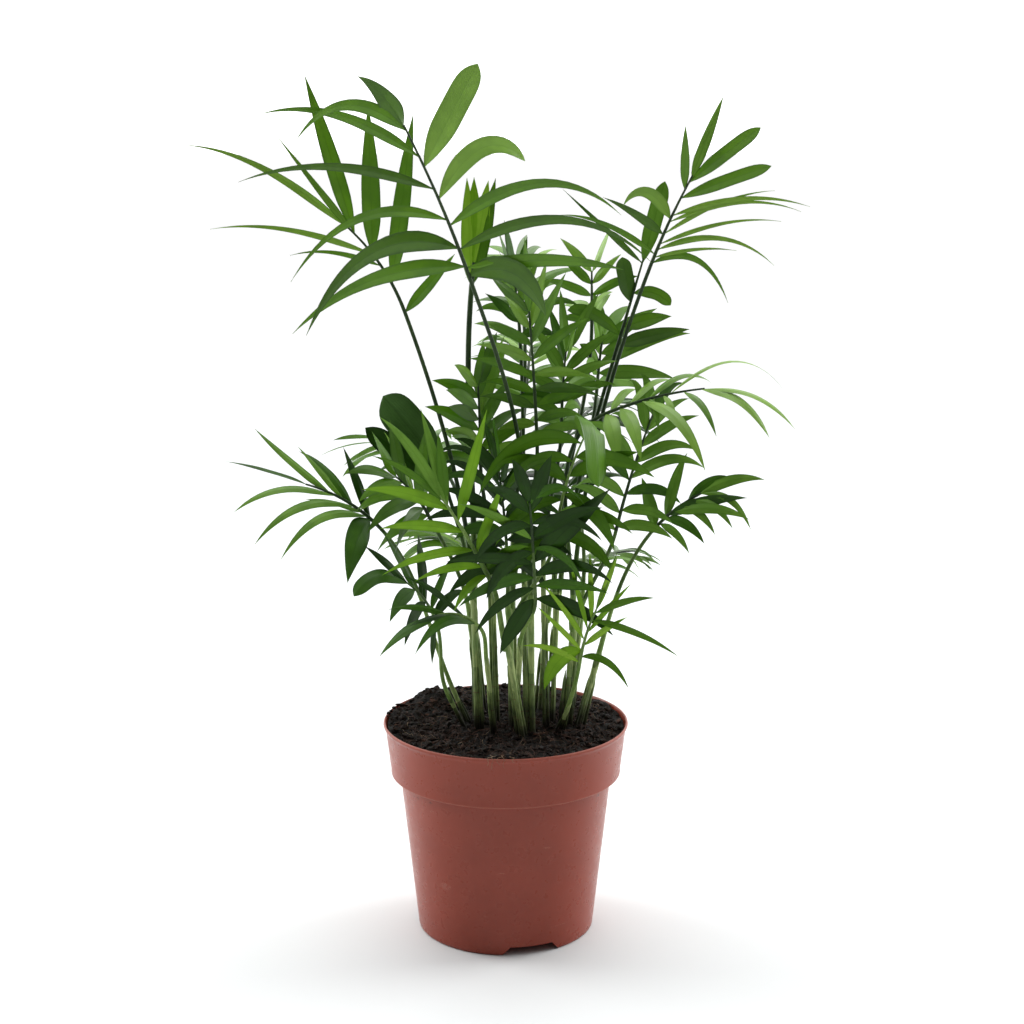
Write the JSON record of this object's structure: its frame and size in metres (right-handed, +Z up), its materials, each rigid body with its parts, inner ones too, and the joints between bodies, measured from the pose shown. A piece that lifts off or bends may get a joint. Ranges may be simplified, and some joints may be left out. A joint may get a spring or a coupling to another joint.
{
  "type": "potted parlour palm",
  "caption": "Young parlour palm, a tuft of slim canes with arching feather-shaped fronds, rooted in soil in a round tapered nursery pot with a wide rim band.",
  "frame": {"origin": "centre of the pot's flat underside, on the surface it stands on", "axes": "+Z up along the pot's axis, -Y the front of the picture, +X to the right seen from the front"},
  "size_m": [0.2715, 0.2464, 0.415],
  "materials": {
    "pot": "satin terracotta-coloured plastic",
    "soil": "moist dark peat",
    "cane": "smooth green cane",
    "leaf": "satin green leaf",
    "leaf_dark": "satin dark green older leaf",
    "leaf_fresh": "satin yellow-green young leaf"
  },
  "bodies": {
    "root": {"pot": "pot", "soil": "soil", "stem_west_outer": "cane", "stem_west_front": "cane", "stem_west_tall": "cane", "stem_west_inner": "cane", "stem_west_back": "cane", "stem_centre_west": "cane", "stem_front_west": "cane", "stem_centre_front": "cane", "stem_centre": "cane", "stem_front": "cane", "stem_front_east": "cane", "stem_centre_pale": "cane", "stem_east_pale": "cane", "stem_east_front": "cane", "stem_east_inner": "cane", "stem_east": "cane", "stem_east_outer": "cane", "stem_back_west": "cane", "stem_back": "cane", "stem_back_east": "cane", "stem_back_outer": "cane", "frond_west_high": "leaf", "frond_front_fresh": "leaf_fresh", "frond_east_high": "leaf_dark", "frond_west_upright": "leaf", "frond_east_mid": "leaf", "frond_west_mid": "leaf_dark", "frond_east_low": "leaf_dark", "frond_east_upright": "leaf_dark", "frond_front_hanging": "leaf_fresh", "frond_spear": "leaf_fresh", "frond_east_curled": "leaf", "frond_west_broad": "leaf_dark", "frond_west_inner": "leaf", "frond_centre_west": "leaf", "frond_centre_ladder": "leaf", "frond_front_centre": "leaf", "frond_front_low_east": "leaf_fresh", "frond_front_low_west": "leaf_fresh", "frond_west_low": "leaf_dark", "frond_centre_low": "leaf_dark", "frond_centre_second": "leaf_dark", "frond_centre_top": "leaf_dark", "frond_centre_back": "leaf", "frond_east_fill": "leaf_dark", "frond_back_high": "leaf", "frond_back_top": "leaf", "frond_back_east": "leaf_dark", "frond_back_west": "leaf", "frond_back_mid": "leaf_dark", "frond_back_low_east": "leaf", "frond_back_low": "leaf_fresh"}
  },
  "joints": []
}
